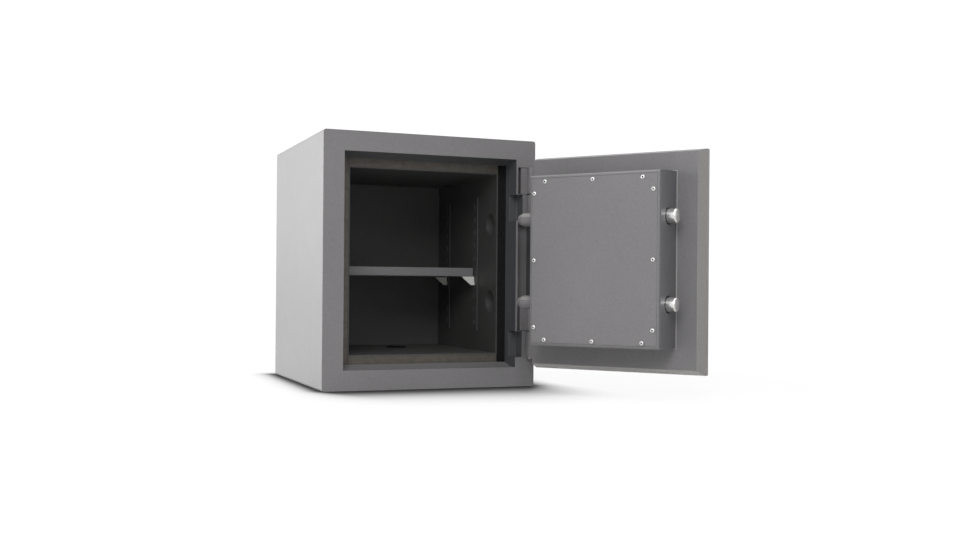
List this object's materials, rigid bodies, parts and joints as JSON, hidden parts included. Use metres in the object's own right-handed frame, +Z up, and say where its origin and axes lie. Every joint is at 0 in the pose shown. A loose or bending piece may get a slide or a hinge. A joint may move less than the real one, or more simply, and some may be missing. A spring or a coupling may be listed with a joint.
{
  "type": "free-standing burglary and fire safe",
  "caption": "Compact composite safe standing open: stepped doorway, thick hinged door with bolt box and boltwork, combination lock behind it, lift-out shelf inside.",
  "frame": {"origin": "middle of the safe's underside, with the doorway facing -Y", "axes": "+Z up, -Y out of the front of the safe, +X towards the hinged side"},
  "size_m": [0.5956, 0.7471, 0.464],
  "materials": {
    "grey_paint": "fine-textured grey enamel",
    "dark_paint": "dark grey enamel",
    "insulation": "cast insulating fill, rough",
    "seal": "bare brown strip, matt",
    "steel": "plain machined steel",
    "zinc": "bright zinc plate",
    "nickel": "polished nickel plate",
    "black_paint": "satin black",
    "rubber": "matt black",
    "brass": "satin brass"
  },
  "bodies": {
    "safe_body": {"outer_shell": "grey_paint", "back_panel": "grey_paint", "front_frame": "grey_paint", "fire_fill": "insulation", "inner_liner": "dark_paint", "seal_ring": "seal", "bolt_socket_left_upper": "steel", "bolt_socket_left_lower": "steel", "bolt_socket_right_upper": "steel", "bolt_socket_right_lower": "steel", "hinge_block_upper": "grey_paint", "hinge_block_lower": "grey_paint", "hinge_pin_upper": "steel", "hinge_pin_lower": "steel", "shelf_standard_left_front": "dark_paint", "shelf_standard_left_rear": "dark_paint", "shelf_standard_right_front": "dark_paint", "shelf_standard_right_rear": "dark_paint", "shelf_clip_left_front": "zinc", "shelf_clip_left_rear": "zinc", "shelf_clip_right_front": "zinc", "shelf_clip_right_rear": "zinc", "anchor_plug": "rubber"},
    "door": {"door_face_plate": "grey_paint", "door_pan": "grey_paint", "door_fill": "insulation", "hinge_strap_upper": "grey_paint", "hinge_strap_lower": "grey_paint", "bolt_box": "grey_paint", "box_cover": "grey_paint", "cover_screw_01": "zinc", "cover_screw_02": "zinc", "cover_screw_03": "zinc", "cover_screw_04": "zinc", "cover_screw_05": "zinc", "cover_screw_06": "zinc", "cover_screw_07": "zinc", "cover_screw_08": "zinc", "cover_screw_09": "zinc", "cover_screw_10": "zinc", "cover_screw_11": "zinc", "cover_screw_12": "zinc", "dead_bolt_upper": "grey_paint", "dead_bolt_lower": "grey_paint", "bolt_guide_upper": "brass", "bolt_guide_lower": "brass", "lock_case": "zinc", "lock_cover": "zinc", "dial_ring": "nickel"},
    "bolt_work": {"bolt_bar": "steel", "drive_plate": "steel", "live_bolt_upper": "nickel", "live_bolt_lower": "nickel"},
    "handle": {"handle": "nickel", "handle_shaft": "steel"},
    "lock_bolt": {"lock_bolt": "brass"},
    "dial": {"dial": "black_paint", "dial_spindle": "brass"},
    "wheel_pack": {"wheel_pack": "brass"},
    "shelf": {"shelf": "dark_paint"}
  },
  "joints": [
    {"name": "door_hinge", "type": "hinge", "parent": "safe_body", "child": "door", "pos_m": [0.194, -0.2168, 0], "axis": [0, 0, 1], "range_deg": [-126.5, 53.5]},
    {"name": "handle_turn", "type": "hinge", "parent": "door", "child": "handle", "pos_m": [0.29329, -0.38342, 0.178], "axis": [0.8039, 0.5948, 0], "range_deg": [0, 60]},
    {"name": "bolt_throw", "type": "slide", "parent": "door", "child": "bolt_work", "axis": [0.5948, -0.8039, 0], "range_m": [0, 0.021]},
    {"name": "dial_turn", "type": "hinge", "parent": "door", "child": "dial", "pos_m": [0.29329, -0.38342, 0.29], "axis": [0.8039, 0.5948, 0], "continuous": true},
    {"name": "wheel_turn", "type": "hinge", "parent": "door", "child": "wheel_pack", "pos_m": [0.24747, -0.41733, 0.29], "axis": [0.8039, 0.5948, 0], "continuous": true},
    {"name": "lock_bolt_slide", "type": "slide", "parent": "door", "child": "lock_bolt", "axis": [0, 0, 1], "range_m": [0, 0.0115]},
    {"name": "shelf_lift", "type": "slide", "parent": "safe_body", "child": "shelf", "axis": [0, 0, 1], "range_m": [0, 0.1]}
  ],
  "couplings": [
    {"joint": "bolt_throw", "follows": "handle_turn", "m_per_rad": 0.020051},
    {"joint": "wheel_turn", "follows": "dial_turn", "ratio": 1}
  ]
}
